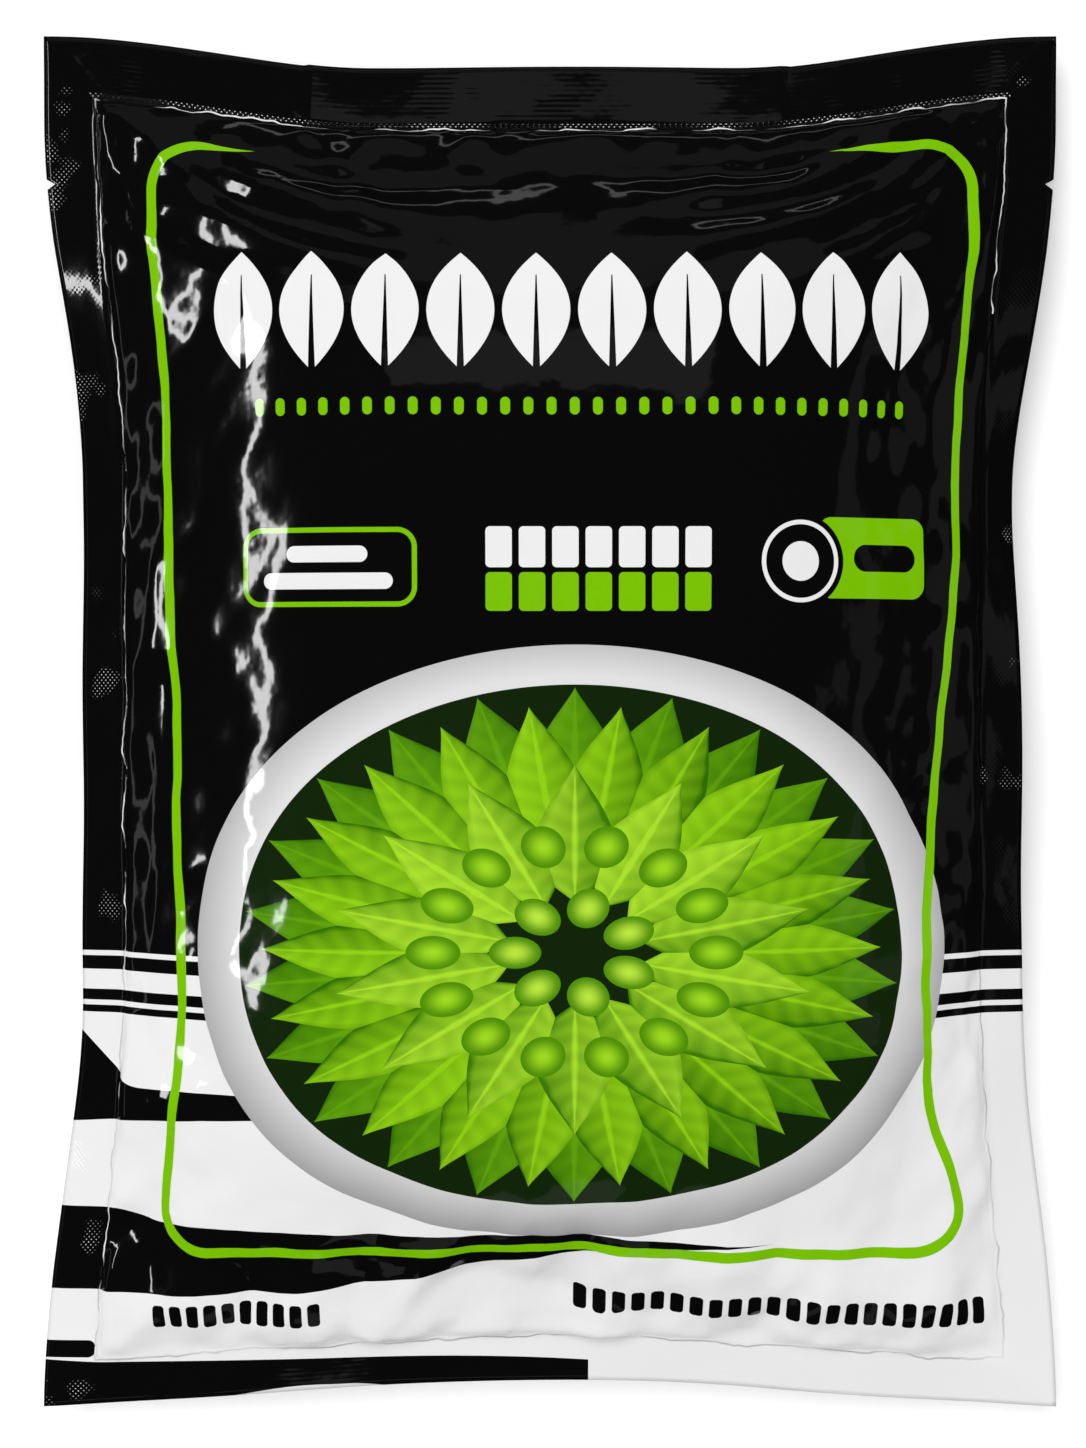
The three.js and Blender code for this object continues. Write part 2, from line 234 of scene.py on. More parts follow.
class Film:
    """Both webs as one grid of points that keeps its flat spacing, welded along the four bands."""

    def __init__(self, across, along):
        self.u, self.v = np.meshgrid(
            np.linspace(-WEB_WIDTH / 2, WEB_WIDTH / 2, across + 1),
            np.linspace(-WEB_LENGTH / 2, WEB_LENGTH / 2, along + 1),
        )
        slack = 0.5
        self.band = np.abs(self.u) > CHAMBER_X - slack
        self.band |= self.v > WEB_LENGTH / 2 - TOP_SEAL - slack
        self.band |= self.v < -WEB_LENGTH / 2 + BOTTOM_SEAL + slack
        x, y = plan_of(self.u, self.v)
        self.seam = np.stack([x, y, weld_height(x, y)], -1)
        self.pairs = self.make_pairs(WEB_WIDTH / across, WEB_LENGTH / along, across + 1, along + 1)

    def make_pairs(self, du, dv, columns, rows):
        """Slices of points at a fixed distance, in batches where no point comes twice."""
        web = slice(None)
        pairs = []
        for step, kind in ((1, "edge"), (2, "bend")):
            for first in range(2 * step):
                near = slice(first, columns - step, 2 * step)
                far = slice(first + step, columns, 2 * step)
                pairs.append(((web, web, near), (web, web, far), step * du, kind))
                near = slice(first, rows - step, 2 * step)
                far = slice(first + step, rows, 2 * step)
                pairs.append(((web, near), (web, far), step * dv, kind))
        left, right = slice(0, columns - 1), slice(1, columns)
        for first in range(2):
            near, far = slice(first, rows - 1, 2), slice(first + 1, rows, 2)
            for start, end in ((left, right), (right, left)):
                pairs.append(((web, near, start), (web, far, end), math.hypot(du, dv), "shear"))
        return pairs

    def hold_spacing(self, points):
        for near, far, rest, kind in self.pairs:
            pull, push = STIFFNESS[kind]
            a, b = points[near], points[far]
            between = b - a
            length = np.sqrt(np.einsum("...k,...k->...", between, between)) + 1e-9
            off = length - rest
            between *= (0.5 * np.where(off > 0, pull, push) * off / length)[..., None]
            a += between
            b -= between

    def weld(self, points):
        points[:, self.band] = points[:, self.band].mean(0)

    def outward(self, points):
        normal = np.cross(np.gradient(points, axis=2), np.gradient(points, axis=1))
        normal /= np.linalg.norm(normal, axis=-1, keepdims=True) + 1e-12
        normal[1] *= -1
        return normal * ~self.band[None, :, :, None]

    def relax(self, points, air, keep_out):
        """Lets the film settle over the pods, with less and less air in the pouch."""
        before = points.copy()
        for step in range(STEPS):
            carried = (points - before) * KEPT_SPEED
            before = points.copy()
            pushed = air * (1 - step / STEPS) * self.outward(points)
            points = points + carried + pushed
            for _ in range(ROUNDS):
                self.hold_spacing(points)
                self.weld(points)
            points += (self.seam - points) * WELD_HOLD * self.band[None, :, :, None]
            keep_out(points)
        return points


def pod_gap(up):
    """From the film's full height down to the pods: none at the weld, most just inside it."""
    return (POD_GAP["middle"] * up + POD_GAP["edge"] * (1 - up)) * smooth_step(up, 0, POD_GAP["from"])


def packed_pods(lumps):
    """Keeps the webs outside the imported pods, above the table and below their full height."""

    def keep_out(points):
        x, y = points[0, ..., 0], points[0, ..., 1]
        up = share_up(x, y, FRONT_RAMP)
        full = weld_height(x, y) + FRONT_RISE * up
        pods = full - pod_gap(up) + lumps * smooth_step(up, 0, POD_GAP["from"])
        front = points[0, ..., 2]
        points[0, ..., 2] = np.where((up > 0) & (front < pods), pods, front)
        points[0, ..., 2] = np.minimum(points[0, ..., 2], full + RISE_LIMIT * up)
        x, y = points[1, ..., 0], points[1, ..., 1]
        up = share_up(x, y, BACK_RAMP)
        pods = back_height(x, y) + pod_gap(up)
        back = points[1, ..., 2]
        points[1, ..., 2] = np.where((up > 0) & (back > pods), pods, back)
        points[..., 2] = np.maximum(points[..., 2], FILM)

    return keep_out


def filled(film):
    """Both webs at their full height, as a grid of points for each."""
    x, y = film.seam[..., 0], film.seam[..., 1]
    return np.stack([np.stack([x, y, height(x, y)], -1) for height in (front_height, back_height)])


def settle(film, points, rng, start):
    """Crumples both webs by chance and lets them settle over lumpy pods."""
    shape = film.u.shape
    height, cells = start["crumples"]
    crumples = np.stack([soft_noise(rng, shape, cells) for _ in range(6)])
    points += height * np.moveaxis(crumples.reshape(2, 3, *shape), 1, -1)
    height, cells = start["lumps"]
    lumps = height * soft_noise(rng, shape, cells)
    return film.relax(points, start["air"], packed_pods(lumps))


def film_shape():
    """Both webs of the filled pouch, settled on a coarse grid and then on a fine one."""
    rng = np.random.default_rng(SEED)
    coarse = Film(*COARSE)
    points = filled(coarse)
    points = settle(coarse, points, rng, COARSE_START)
    rows = np.linspace(0, COARSE[1], FINE[1] + 1)
    columns = np.linspace(0, COARSE[0], FINE[0] + 1)
    points = np.stack([resample(web, rows, columns) for web in points])
    return settle(Film(*FINE), points, rng, FINE_START)


# Creases pressed into the film: from, to, height and half width, on the flat web
CREASES = (
    ((-165, 229), (-112, 186), 1.7, 4.5),
    ((-166, 226), (-143, 160), 1.4, 5.0),
    ((165, 228), (124, 194), 1.6, 4.0),
    ((167, 222), (152, 158), 1.1, 4.5),
    ((-91, 229), (-70, 208), 1.3, 4.0),
    ((-28, 230), (-45, 196), 0.9, 5.0),
    ((70, 229), (52, 188), 1.0, 4.5),
    ((96, 228), (82, 190), -0.9, 4.5),
    ((-166, -196), (-138, -214), 1.3, 4.0),
    ((-162, -234), (-128, -198), 1.2, 4.5),
    ((166, -232), (140, -206), 1.3, 5.0),
    ((158, -60), (161, -190), 1.0, 4.0),
    ((168, -110), (146, -158), 1.5, 5.0),
    ((150, -222), (118, -184), 1.4, 6.0),
    ((92, -232), (58, -204), 1.5, 6.0),
    ((8, -232), (34, -203), 1.3, 6.0),
    ((-62, -233), (-96, -206), 1.5, 6.0),
    ((-152, 60), (-150, -150), 0.8, 4.5),
)
CREASE_TAPER = {"rise": (-0.03, 0.05), "fall": (0.55, 1.0)}  # shares of a crease's length

# Crumples, as facet size and fold height: full beside the welds, some in the panels at the head and
# the foot, more on the low sides, and hardly any on the taut middle
CRUMPLES = ((40.0, 5.0), (19.0, 2.6), (9.0, 0.9))
ZIGZAGS = {"number": 3, "bend": 0.7, "bend_size": 2.5}
LOOSE_REACH = 55.0
CALM_SHARE = 0.07
TOP_PANEL = {"from": 168.0, "to": 205.0, "share": 0.55}
FOOT_PANEL = {"from": 150.0, "to": 215.0, "share": 0.75}
LOW_SIDES = {"from": 80.0, "to": 125.0, "more": 0.7}

# The film stands up from the weld before it leans in, and the top weld is bent back in its middle
WELD_FADE = (-1.0, 5.0)
LIP = {"height": 1.1, "reach": 5.0}
SEAL_STEP = {"left": -91.0, "right": 86.0, "height": -1.3, "width": 1.6}


def folds(u, v, size, rng):
    """Flat facets with sharp folds between them: crossing zigzags, each bent a little by noise."""
    height = np.zeros(u.shape)
    spacing = WEB_WIDTH / (u.shape[1] - 1)
    for _ in range(ZIGZAGS["number"]):
        turn = rng.uniform(0, np.pi)
        phase = (u * np.cos(turn) + v * np.sin(turn)) / size
        phase += ZIGZAGS["bend"] * soft_noise(rng, u.shape, ZIGZAGS["bend_size"] * size / spacing)
        height += np.abs(phase % 2 - 1) / ZIGZAGS["number"]
    return height - 0.5


def crumple_height(u, v, rng):
    """How far creases, crumples and the bent top weld move the film along its normal."""
    beside = CHAMBER_X - np.abs(u)
    beyond = CHAMBER_Y - np.abs(v - CHAMBER_MIDDLE)
    inward = np.minimum(beside, beyond)
    loose = np.exp(-((np.maximum(inward, 0) / LOOSE_REACH) ** 2))
    top = TOP_PANEL["share"] * smooth_step(v, TOP_PANEL["from"], TOP_PANEL["to"])
    loose = loose * (1 + LOW_SIDES["more"] * smooth_step(-v, LOW_SIDES["from"], LOW_SIDES["to"]))
    amount = np.maximum(np.maximum(loose, top), CALM_SHARE)
    amount = amount + FOOT_PANEL["share"] * smooth_step(-v, FOOT_PANEL["from"], FOOT_PANEL["to"])
    height = np.zeros(u.shape)
    for size, depth in CRUMPLES:
        height += depth * amount * folds(u, v, size, rng)
    for (u0, v0), (u1, v1), depth, width in CREASES:
        along = np.array([u1 - u0, v1 - v0], float)
        length = np.hypot(*along)
        t = ((u - u0) * along[0] + (v - v0) * along[1]) / length**2
        aside = np.abs((u - u0) * along[1] - (v - v0) * along[0]) / length
        taper = smooth_step(t, *CREASE_TAPER["rise"]) * (1 - smooth_step(t, *CREASE_TAPER["fall"]))
        height += depth * np.exp(-aside / width) * taper
    height *= smooth_step(inward, *WELD_FADE)
    out = np.maximum(inward, 0) / LIP["reach"]
    height += LIP["height"] * out * np.exp(1 - out)
    lifted = smooth_step(u, SEAL_STEP["left"], SEAL_STEP["left"] + SEAL_STEP["width"])
    lifted *= 1 - smooth_step(u, SEAL_STEP["right"], SEAL_STEP["right"] + SEAL_STEP["width"])
    outward = np.clip((v - CHAMBER_MIDDLE - CHAMBER_Y) / TOP_SEAL, 0, 1)
    return height + SEAL_STEP["height"] * lifted * outward


def make_object(name, vertices, faces, smooth=True):
    mesh = bpy.data.meshes.new(name)
    mesh.from_pydata(vertices.tolist(), [], faces)
    mesh.polygons.foreach_set("use_smooth", [smooth] * len(mesh.polygons))
    mesh.update()
    made = bpy.data.objects.new(name, mesh)
    bpy.context.scene.collection.objects.link(made)
    return made


def web_lines():
    """The finished mesh's lines across and along the flat web, with three for the notches."""
    across = np.linspace(-WEB_WIDTH / 2, WEB_WIDTH / 2, MESH_ACROSS + 1)
    along = np.linspace(-WEB_LENGTH / 2, WEB_LENGTH / 2, MESH_ALONG + 1)
    along = along[np.abs(along - NOTCH_Y) > NOTCH_HALF + NOTCH_CLEAR]
    notch = [NOTCH_Y - NOTCH_HALF, NOTCH_Y, NOTCH_Y + NOTCH_HALF]
    return across, np.sort(np.concatenate([along, notch]))


def web_object(name, points, facing, seed):
    """One web as a thin closed sheet; its UV map is the flat web, 0 to 1 both ways."""
    across, along = web_lines()
    rows, columns = points.shape[0] - 1, points.shape[1] - 1
    at_rows = (along / WEB_LENGTH + 0.5) * rows
    flat_u = np.repeat(across[None, :], len(along), 0)
    outer = resample(points, at_rows, (across / WEB_WIDTH + 0.5) * columns)
    tip = int(np.argmin(np.abs(along - NOTCH_Y)))
    reach = NOTCH_SPREAD * NOTCH_DEPTH
    edge = WEB_WIDTH / 2
    near = np.clip((np.abs(across) - edge + reach) / reach, 0, 1)
    flat_u[tip] = across - np.sign(across) * NOTCH_DEPTH * near**2
    row = resample(points, at_rows[tip:tip + 1], (flat_u[tip] / WEB_WIDTH + 0.5) * columns)
    outer[tip] = row[0]
    normal = np.cross(np.gradient(outer, axis=1), np.gradient(outer, axis=0)) * facing
    normal /= np.linalg.norm(normal, axis=-1, keepdims=True)
    flat_v = np.repeat(along[:, None], len(across), 1)
    outer += normal * crumple_height(flat_u, flat_v, np.random.default_rng(seed))[..., None]
    outer = outer + normal * FILM * FILM_OUTSIDE
    inner = outer - normal * FILM
    height, width = outer.shape[:2]
    count = height * width
    index = np.arange(count).reshape(height, width)
    quads = np.stack([index[:-1, :-1], index[:-1, 1:], index[1:, 1:], index[1:, :-1]], -1).reshape(-1, 4)
    if facing < 0:
        quads = quads[:, ::-1]
    ring = np.concatenate([index[0, :-1], index[:-1, -1], index[-1, :0:-1], index[:0:-1, 0]])
    if facing < 0:
        ring = ring[::-1]
    after = np.roll(ring, -1)
    rim = np.stack([ring, ring + count, after + count, after], -1)
    faces = np.concatenate([quads, quads[:, ::-1] + count, rim])
    vertices = np.concatenate([outer.reshape(-1, 3), inner.reshape(-1, 3)]) * MM
    made = make_object(name, vertices, faces.tolist())
    flat = np.stack([flat_u / WEB_WIDTH + 0.5, flat_v / WEB_LENGTH + 0.5], -1)
    flat = np.concatenate([flat.reshape(-1, 2)] * 2)
    layer = made.data.uv_layers.new(name="flat_web")
    layer.data.foreach_set("uv", flat[faces.reshape(-1)].ravel())
    return made


# One pod: its length, its bend as a share of that, its keel as a share of its width, and its
# stations, each a share of the length with the width and thickness there
POD_LENGTH = (46.4, 60.8)
POD_BEND = (0.02, 0.07)
POD_KEEL = 0.12
POD_SIDES = 7
POD_STATIONS = (
    (0.0, 1.2, 1.2), (0.05, 2.6, 2.4), (0.1, 5.2, 3.8), (0.17, 11.6, 7.4), (0.23, 14.6, 9.8),
    (0.3, 15.4, 10.6), (0.36, 13.8, 9.2), (0.41, 12.6, 8.0), (0.47, 14.8, 10.0), (0.53, 16.0, 11.0),
    (0.6, 14.0, 9.4), (0.65, 12.6, 8.2), (0.71, 13.8, 9.6), (0.78, 14.2, 9.8), (0.86, 9.6, 6.6),
    (0.93, 4.4, 3.2), (1.0, 0.8, 0.8),
)

# How the pods are packed: their spacing, the columns and rows on either side of the middle ones, what
# chance adds, how far their middles stay off the film, the height left free at their ends, and how
# far to either side their slope is measured
POD_ROW = {"length": 60.0, "width": 15.5, "layer": 11.5}
POD_COLUMNS_ASIDE = 2
POD_ROWS_ASIDE = 13
POD_CHANCE = {"x": 4.0, "y": 1.5, "turn": 0.12, "roll": 0.5}
POD_WALL = 8.0
POD_END = {"at": 28.0, "room": 12.0}
POD_SPAN = 25.0


def pod_points(length, bend):
    """Rings of one pod along +x, flat in z, with a keel along its seam."""
    sides = POD_SIDES
    share, width, thick = np.array(POD_STATIONS).T
    angle = np.linspace(0, 2 * np.pi, sides, endpoint=False)
    centre_y = bend * length * (share * (1 - share)) * 4 - bend * length * 0.6
    x = (share - 0.5) * length
    keel = 1 + POD_KEEL * (np.cos(angle) > 0.9)
    ring_y = centre_y[:, None] + 0.5 * width[:, None] * np.cos(angle) * keel
    ring_z = 0.5 * thick[:, None] * np.sin(angle)
    return np.stack([np.repeat(x[:, None], sides, 1), ring_y, ring_z], -1)


def pod_faces():
    sides, stations = POD_SIDES, len(POD_STATIONS)
    faces = []
    for k in range(stations - 1):
        for j in range(sides):
            after = (j + 1) % sides
            low, high = k * sides, (k + 1) * sides
            faces.append((low + j, high + j, high + after, low + after))
    faces.append(tuple(range(sides)))
    faces.append(tuple(reversed(range((stations - 1) * sides, stations * sides))))
    return faces


def turned(points, angle, first, second):
    """Points turned in the plane of two of their axes."""
    c, s = math.cos(angle), math.sin(angle)
    made = points.copy()
    made[..., first] = c * points[..., first] - s * points[..., second]
    made[..., second] = s * points[..., first] + c * points[..., second]
    return made


def chance(rng, most):
    return rng.uniform(-most, most)


def pod_room(x, y):
    """The lowest and highest place for a pod's middle, and how many layers fit there."""
    low = float(back_height(x, y)) + POD_WALL
    high = float(front_height(x, y)) - POD_WALL
    ends = [x - POD_END["at"], x + POD_END["at"]]
    least = min(float(front_height(end, y) - back_height(end, y)) for end in ends)
    return low, high, int(min(high - low, least - POD_END["room"]) // POD_ROW["layer"])


def pod_slope(x, y):
    """How steeply the middle between both webs climbs to the right."""
    climb = 0.0
    for height in (front_height, back_height):
        climb += float(height(x + POD_SPAN, y) - height(x - POD_SPAN, y)) / 2
    return climb / (2 * POD_SPAN)


def pods_object():
    """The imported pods, in rows and layers that follow the webs, each turned a little by chance."""
    rng = np.random.default_rng(SEED + 1)
    one_pod = pod_faces()
    vertices, faces = [], []
    columns = np.arange(-POD_COLUMNS_ASIDE, POD_COLUMNS_ASIDE + 1) * POD_ROW["length"]
    rows = np.arange(-POD_ROWS_ASIDE, POD_ROWS_ASIDE + 1) * POD_ROW["width"]
    for y0 in rows:
        for x0 in columns:
            x = x0 + chance(rng, POD_CHANCE["x"])
            y = y0 + CHAMBER_MIDDLE + chance(rng, POD_CHANCE["y"])
            low, high, layers = pod_room(x, y)
            for k in range(layers):
                z = low + (high - low) * (k + 0.5) / layers
                turn = chance(rng, POD_CHANCE["turn"]) + (math.pi if rng.random() < 0.5 else 0)
                roll = chance(rng, POD_CHANCE["roll"])
                points = pod_points(rng.uniform(*POD_LENGTH), rng.uniform(*POD_BEND))
                points = turned(turned(points, roll, 1, 2), turn, 0, 1)
                points[..., 2] += pod_slope(x, y) * points[..., 0]
                base = len(vertices) * len(POD_STATIONS) * POD_SIDES
                vertices.append(points.reshape(-1, 3) + [x, y, z])
                faces += [tuple(base + i for i in face) for face in one_pod]
    return make_object("packed_pods", np.concatenate(vertices) * MM, faces)


def linear(code):
    """An sRGB hex colour as Blender's linear RGBA."""
    channels = [int(code[i:i + 2], 16) / 255 for i in (0, 2, 4)]
    return tuple(c / 12.92 if c <= 0.04045 else ((c + 0.055) / 1.055) ** 2.4 for c in channels) + (1.0,)


def add(tree, kind, inputs=None, output=0, **settings):
    """Adds a node with its settings, and fills or links its inputs. Gives an output, if it has any."""
    node = tree.nodes.new(kind)
    for name, value in settings.items():
        setattr(node, name, value)
    for name, value in (inputs or {}).items():
        if isinstance(value, bpy.types.NodeSocket):
            tree.links.new(value, node.inputs[name])
        else:
            node.inputs[name].default_value = value
    return node.outputs[output] if len(node.outputs) else None


def new_material(name):
    material = bpy.data.materials.new(name)
    material.use_nodes = True
    material.node_tree.nodes.clear()
    return material, material.node_tree


MATH = "ShaderNodeMath"
VECTOR = "ShaderNodeVectorMath"
BLEND = "ShaderNodeMix"
SPREAD = "ShaderNodeMapRange"
HAIR = 0.01  # the least width of anything printed, in millimetres

# Inks of the print
BLACK_INK = "0A0909"
WHITE_INK = "E6E6E6"
GREEN_INK = "76BC03"
GROUND_INK = "12240A"
RIM_INKS = ("8E8E8E", "DADADA")
LOW_LEAF_INKS = ("2F6A04", "5E9C0C")
LEAF_INKS = ("2F6A04", "8CC914")
HIGH_LEAF_INKS = ("3A7806", "A4D92B")
BEAN_INKS = ("4C8A08", "9AD41F")
CORE_BEAN_INKS = ("4C8A08", "B4E03C")

# The ground of the print, in millimetres on the flat web as all of it: black above this height, white
# below it, with straight stripes under the change
BLACK_END = -84.0
STRIPES = ((-85.9, -90.9), (-98.3, -102.3), (-104.2, -106.8))

# Slanted bands on the white foot. Each edge runs from 1 to 2 across, and from height 3 to height 4
UPPER_BAND = {
    "top": {1: -187.5, 2: -155.0, 3: -113.5, 4: -138.0}, "level": -133.0, "rounding": 7.0,
    "foot": {1: -187.5, 2: -100.0, 3: -147.4, 4: -141.2}, "end": -60.0,
}
WEDGE = {
    "top": {1: -150.0, 2: 80.0, 3: -183.0, 4: -190.0}, "lift": {1: -165.0, 2: -145.0, 3: 4.0, 4: 0.0},
    "foot": {1: -105.0, 2: 80.0, 3: -210.0, 4: -190.0}, "end": 80.0,
}
NOSE = {"centre": (-190.0, -232.5), "half": (22.0, 3.2), "corner": 3.1}
FOOT_STRIP = {"top": {1: -187.5, 2: 15.0, 3: -236.5, 4: -246.0}, "end": 14.0}

# The frame line, its gap at the head, and how far its sides bow: from 1 to 2, by 3 to 4
FRAME = {"centre": (3.0, 10.5), "half": (147.5, 206.0), "corner": 21.0, "line": 3.9}
FRAME_GAP = {"centre": -3.0, "half": 103.0, "above": 200.0, "taper": 24.0, "least": 0.02}
FRAME_BOW = {
    "side": {1: 85.0, 2: -100.0, 3: 6.5, 4: -8.5}, "foot": {1: -125.0, 2: -180.0, 3: 0.0, 4: 11.0},
    "right": {1: 60.0, 2: 130.0, 3: 0.0, 4: -1.0}, "left": {1: -60.0, 2: -130.0, 3: 0.0, 4: 0.4},
}

# The medal: its ground inside a rim, three rings of leaves and two of beans. Turn is in sectors
MEDAL = {"centre": (8.0, -80.0), "radius": 108.0, "squeeze": 0.77, "ground": 94.0, "fade": 15.0}
MEDAL_RIM = {"inside": 1.0, "edge": 0.35, "foot": -0.25, "head": 0.2}
MEDAL_LEAVES = (
    {"count": 22, "turn": 0.5, "inner": 44.0, "outer": 93.0, "half": 11.5, "inks": LOW_LEAF_INKS},
    {"count": 22, "turn": 0.0, "inner": 38.0, "outer": 87.0, "half": 10.0, "inks": LEAF_INKS},
    {"count": 14, "turn": 0.5, "inner": 18.0, "outer": 66.0, "half": 11.0, "inks": HIGH_LEAF_INKS},
)
MEDAL_BEANS = (
    {"count": 14, "turn": 0.0, "ring": 38.0, "size": 7.4, "inks": BEAN_INKS},
    {"count": 7, "turn": 0.5, "ring": 16.0, "size": 7.0, "inks": CORE_BEAN_INKS},
)
BEAN_SQUEEZE = 1.25

# One leaf: the powers that shape its outline, its veins, the tone across it, how much chance adds to
# that, and the lighter rib and darker rim, each from one share of the half width
LEAF_SHAPE = {"belly": 0.8, "point": 1.15}
LEAF_VEINS = {"along": 0.9, "aside": 5.0, "tone": 0.07}
LEAF_TONES = {"dark_side": 0.15, "lit_side": 0.75, "spread": 0.3}
LEAF_RIB = {"wide": 0.12, "tone": 0.55}
LEAF_RIM = {"from": 0.72, "tone": -0.35}


def flat_place(tree):
    """The place on the flat web in millimetres from its middle."""
    place = add(tree, "ShaderNodeUVMap", uv_map="flat_web")
    shifted = add(tree, VECTOR, {0: place, 1: (0.5, 0.5, 0)}, operation="SUBTRACT")
    return add(tree, VECTOR, {0: shifted, 1: (WEB_WIDTH, WEB_LENGTH, 0)}, operation="MULTIPLY")


def across_and_up(tree, place):
    """The two coordinates of a place on the flat web."""
    return [add(tree, "ShaderNodeSeparateXYZ", {0: place}, output=axis) for axis in range(2)]


def stripe_masks(tree, v):
    """The straight stripes across the foot of the print."""
    return [
        add(tree, MATH, {0: v, 1: (high + low) / 2, 2: (high - low) / 2}, operation="COMPARE")
        for high, low in STRIPES
    ]


def band(tree, u, v, top, foot, end):
    """Where the print lies between two edges that run across it, up to an end on the right."""
    below = add(tree, MATH, {0: v, 1: top}, operation="LESS_THAN")
    above = add(tree, MATH, {0: v, 1: foot}, operation="GREATER_THAN")
    before = add(tree, MATH, {0: u, 1: end}, operation="LESS_THAN")
    inside = add(tree, MATH, {0: below, 1: above}, operation="MULTIPLY")
    return add(tree, MATH, {0: inside, 1: before}, operation="MULTIPLY")


def from_core(tree, place, centre, half, corner):
    """Distance from the core of a rounded rectangle, whose edge is one corner radius away."""
    offset = add(tree, VECTOR, {0: place, 1: (*centre, 0)}, operation="SUBTRACT")
    mirrored = add(tree, VECTOR, {0: offset}, operation="ABSOLUTE")
    core = (half[0] - corner, half[1] - corner, 1)
    past = add(tree, VECTOR, {0: mirrored, 1: core}, operation="SUBTRACT")
    past = add(tree, VECTOR, {0: past, 1: (0, 0, 0)}, operation="MAXIMUM")
    return add(tree, VECTOR, {0: past}, output="Value", operation="LENGTH")


def patch(tree, place, centre, half, corner):
    """Where the print lies inside a rounded rectangle."""
    away = from_core(tree, place, centre, half, corner)
    return add(tree, MATH, {0: away, 1: max(corner, HAIR)}, operation="LESS_THAN")


def outline(tree, place, centre, half, corner, line):
    """Where the print lies on a rounded rectangle's line."""
    away = from_core(tree, place, centre, half, corner)
    return add(tree, MATH, {0: away, 1: corner - line / 2, 2: line / 2}, operation="COMPARE")


def frame_line(tree, place, u, v):
    """The frame round the print: open at the top, its ends drawn thin, its sides bowed."""
    bow = add(tree, SPREAD, {0: v, **FRAME_BOW["side"]}, interpolation_type="SMOOTHSTEP")
    out = add(tree, SPREAD, {0: v, **FRAME_BOW["foot"]}, interpolation_type="SMOOTHSTEP")
    bow = add(tree, MATH, {0: bow, 1: out}, operation="ADD")
    right = add(tree, SPREAD, {0: u, **FRAME_BOW["right"]})
    left = add(tree, SPREAD, {0: u, **FRAME_BOW["left"]})
    share = add(tree, MATH, {0: right, 1: left}, operation="ADD")
    bow = add(tree, MATH, {0: bow, 1: share}, operation="MULTIPLY")
    shift = add(tree, "ShaderNodeCombineXYZ", {0: bow})
    bowed = add(tree, VECTOR, {0: place, 1: shift}, operation="ADD")
    away = from_core(tree, bowed, FRAME["centre"], FRAME["half"], FRAME["corner"])
    aside = add(tree, MATH, {0: u, 1: FRAME_GAP["centre"]}, operation="SUBTRACT")
    aside = add(tree, MATH, {0: aside}, operation="ABSOLUTE")
    thick = FRAME["line"] / 2
    ends = FRAME_GAP["half"]
    thin = add(tree, SPREAD, {0: aside, 1: ends, 2: ends + FRAME_GAP["taper"], 3: 0.0, 4: thick})
    low = add(tree, MATH, {0: v, 1: FRAME_GAP["above"]}, operation="LESS_THAN")
    low = add(tree, MATH, {0: low, 1: thick}, operation="MULTIPLY")
    thin = add(tree, MATH, {0: thin, 1: low}, operation="MAXIMUM")
    line = add(tree, MATH, {0: away, 1: FRAME["corner"] - thick, 2: thin}, operation="COMPARE")
    shown = add(tree, MATH, {0: thin, 1: FRAME_GAP["least"]}, operation="GREATER_THAN")
    return add(tree, MATH, {0: line, 1: shown}, operation="MULTIPLY")


def blocks(tree, place, centre, count, pitch, half, corner):
    """A row of small rounded blocks round a centre."""
    offset = add(tree, VECTOR, {0: place, 1: (*centre, 0)}, operation="SUBTRACT")
    shift = pitch / 2 if count % 2 == 0 else 0
    moved = add(tree, VECTOR, {0: offset, 1: (shift, 0, 0)}, operation="ADD")
    low, high = (-pitch / 2, -half[1] * 2, -1), (pitch / 2, half[1] * 2, 1)
    wrapped = add(tree, VECTOR, {0: moved, 1: high, 2: low}, operation="WRAP")
    one = patch(tree, wrapped, (0.0, 0.0), half, corner)
    row = patch(tree, offset, (0.0, 0.0), (count * pitch / 2, half[1] * 1.5), 0.0)
    return add(tree, MATH, {0: one, 1: row}, operation="MULTIPLY")


def lower_bands(tree, place, u, v):
    """Masks of the slanted bands on the white foot of the print."""
    slant = add(tree, SPREAD, {0: u, **UPPER_BAND["top"]})
    top = add(tree, MATH, {0: slant, 1: UPPER_BAND["level"], 2: UPPER_BAND["rounding"]},
              operation="SMOOTH_MAX")
    foot = add(tree, SPREAD, {0: u, **UPPER_BAND["foot"]})
    upper = band(tree, u, v, top, foot, UPPER_BAND["end"])
    top = add(tree, SPREAD, {0: u, **WEDGE["top"]})
    lift = add(tree, SPREAD, {0: u, **WEDGE["lift"]}, interpolation_type="SMOOTHSTEP")
    top = add(tree, MATH, {0: top, 1: lift}, operation="ADD")
    foot = add(tree, SPREAD, {0: u, **WEDGE["foot"]}, interpolation_type="SMOOTHSTEP")
    wedge = band(tree, u, v, top, foot, WEDGE["end"])
    nose = patch(tree, place, NOSE["centre"], NOSE["half"], NOSE["corner"])
    top = add(tree, SPREAD, {0: u, **FOOT_STRIP["top"]})
    strip = band(tree, u, v, top, -WEB_LENGTH, FOOT_STRIP["end"])
    return [upper, wedge, nose, strip]


